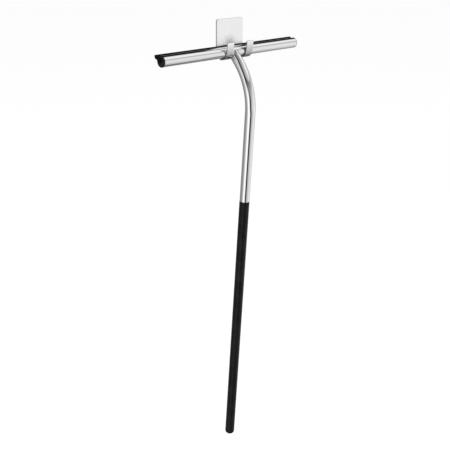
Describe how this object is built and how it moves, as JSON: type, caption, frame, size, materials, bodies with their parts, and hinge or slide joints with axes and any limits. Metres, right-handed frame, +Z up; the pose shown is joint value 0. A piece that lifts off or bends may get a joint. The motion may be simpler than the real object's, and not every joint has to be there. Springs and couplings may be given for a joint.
{
  "type": "window cleaning squeegee",
  "caption": "Long-handled window and shower squeegee with a tubular head, replaceable rubber blade and straight grip, hanging in a self-adhesive wall hook.",
  "frame": {"origin": "centre of the back face of the hook's adhesive pad, where it meets the wall", "axes": "+Z up along the handle, +X along the head to the viewer's right, +Y into the wall"},
  "size_m": [0.25, 0.0515, 0.6312],
  "materials": {
    "polished_chrome": "bright plated and polished",
    "satin_steel": "satin stainless steel, fine grain",
    "blade_rubber": "smooth black rubber, slightly satin",
    "cap_plastic": "black moulded plastic, fine texture",
    "grip_rubber": "satin black soft-touch sleeve",
    "channel_alloy": "plain extruded",
    "insert_brass": "turned brass",
    "core_steel": "drawn steel tube",
    "fastener_steel": "plain stainless steel",
    "pad_foam": "closed-cell foam tape"
  },
  "bodies": {
    "wall_hook": {"hook_plate": "satin_steel", "adhesive_pad": "pad_foam"},
    "squeegee": {"head_tube": "polished_chrome", "blade_channel": "channel_alloy", "end_cap_left": "cap_plastic", "end_cap_right": "cap_plastic", "handle_tube": "polished_chrome", "handle_insert": "insert_brass", "joint_washer": "fastener_steel", "joint_screw": "fastener_steel", "handle_bush": "insert_brass", "seam_ring": "blade_rubber", "joint_stud": "fastener_steel", "grip_bush": "insert_brass", "grip_core": "core_steel", "grip_sleeve": "grip_rubber", "grip_end_cap": "grip_rubber"},
    "blade": {"blade": "blade_rubber"}
  },
  "joints": [
    {"name": "squeegee_lift", "type": "slide", "parent": "wall_hook", "child": "squeegee", "axis": [0, 0, 1], "range_m": [0, 0.06]},
    {"name": "blade_slide", "type": "slide", "parent": "squeegee", "child": "blade", "axis": [1, 0, 0], "range_m": [0, 0.25]}
  ]
}
